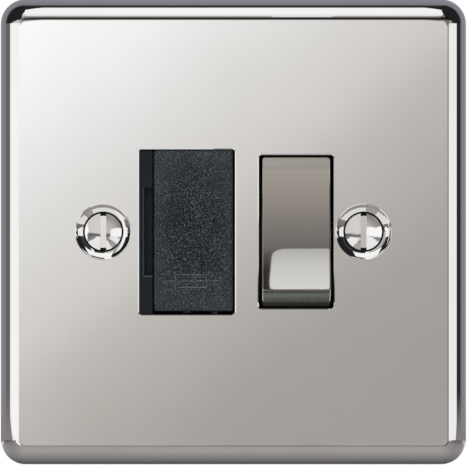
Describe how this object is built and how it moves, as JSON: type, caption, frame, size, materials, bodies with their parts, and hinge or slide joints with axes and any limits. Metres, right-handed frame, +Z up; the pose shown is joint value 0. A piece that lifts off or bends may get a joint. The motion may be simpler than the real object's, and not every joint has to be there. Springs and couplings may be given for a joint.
{
  "type": "fused spur unit",
  "caption": "One-gang wall plate in polished chrome with a hinged fuse carrier, a double-pole rocker switch, clamp terminals and fixing screws.",
  "frame": {"origin": "centre of the plate in the wall plane, at the plate's back rim", "axes": "+Z up, +X to the user's right, -Y out of the wall towards the user"},
  "size_m": [0.086, 0.0355, 0.086],
  "materials": {
    "plate_chrome": "mirror polished chrome plate",
    "rocker_chrome": "polished chrome plate",
    "screw_chrome": "polished chrome plate",
    "moulding_black": "smooth black moulding",
    "housing_black": "smooth black moulding",
    "carrier_charcoal": "fine spark-eroded grain",
    "ceramic_white": "unglazed",
    "nickel": "bright nickel plate",
    "brass": "pressed brass",
    "copper": "rolled copper alloy",
    "contact_silver": "silver alloy",
    "plunger_plastic": "natural plastic",
    "zinc_steel": "zinc plated"
  },
  "bodies": {
    "unit": {"front_plate": "plate_chrome", "mounting_screws": "screw_chrome", "front_moulding": "moulding_black", "rear_housing": "housing_black", "live_supply_clip": "brass", "live_switch_link": "brass", "live_load_bar": "brass", "neutral_supply_bar": "brass", "neutral_load_bar": "brass", "earth_strap_supply": "brass", "earth_strap_load": "brass", "terminal_live_supply": "brass", "terminal_neutral_supply": "brass", "terminal_earth_supply": "brass", "terminal_live_load": "brass", "terminal_neutral_load": "brass", "terminal_earth_load": "brass", "fixed_rivets": "contact_silver", "terminal_screws": "zinc_steel", "plate_studs": "zinc_steel", "stud_nuts": "zinc_steel", "assembly_screws": "zinc_steel"},
    "rocker": {"rocker": "rocker_chrome", "plunger_live": "plunger_plastic", "plunger_neutral": "plunger_plastic", "plunger_spring_live": "zinc_steel", "plunger_spring_neutral": "zinc_steel"},
    "fuse_carrier": {"fuse_carrier": "carrier_charcoal", "fuse_barrel": "ceramic_white", "fuse_cap_top": "nickel", "fuse_cap_bottom": "nickel"},
    "contact_live": {"moving_contact_live": "copper", "moving_rivet_live": "contact_silver"},
    "contact_neutral": {"moving_contact_neutral": "copper", "moving_rivet_neutral": "contact_silver"}
  },
  "joints": [
    {"name": "rocker_tip", "type": "hinge", "parent": "unit", "child": "rocker", "pos_m": [0.01158, -0.00078, 0], "axis": [1, 0, 0], "range_deg": [0, 21]},
    {"name": "carrier_swing", "type": "hinge", "parent": "unit", "child": "fuse_carrier", "pos_m": [-0.0034, -0.00505, 0], "axis": [0, 0, 1], "range_deg": [0, 85]},
    {"name": "contact_live_tip", "type": "hinge", "parent": "unit", "child": "contact_live", "pos_m": [0.00828, 0.00914, 0], "axis": [1, 0, 0], "range_deg": [-21, 0]},
    {"name": "contact_neutral_tip", "type": "hinge", "parent": "unit", "child": "contact_neutral", "pos_m": [0.01488, 0.00914, 0], "axis": [1, 0, 0], "range_deg": [-21, 0]}
  ],
  "couplings": [
    {"joint": "contact_live_tip", "follows": "rocker_tip", "ratio": -1},
    {"joint": "contact_neutral_tip", "follows": "rocker_tip", "ratio": -1}
  ]
}
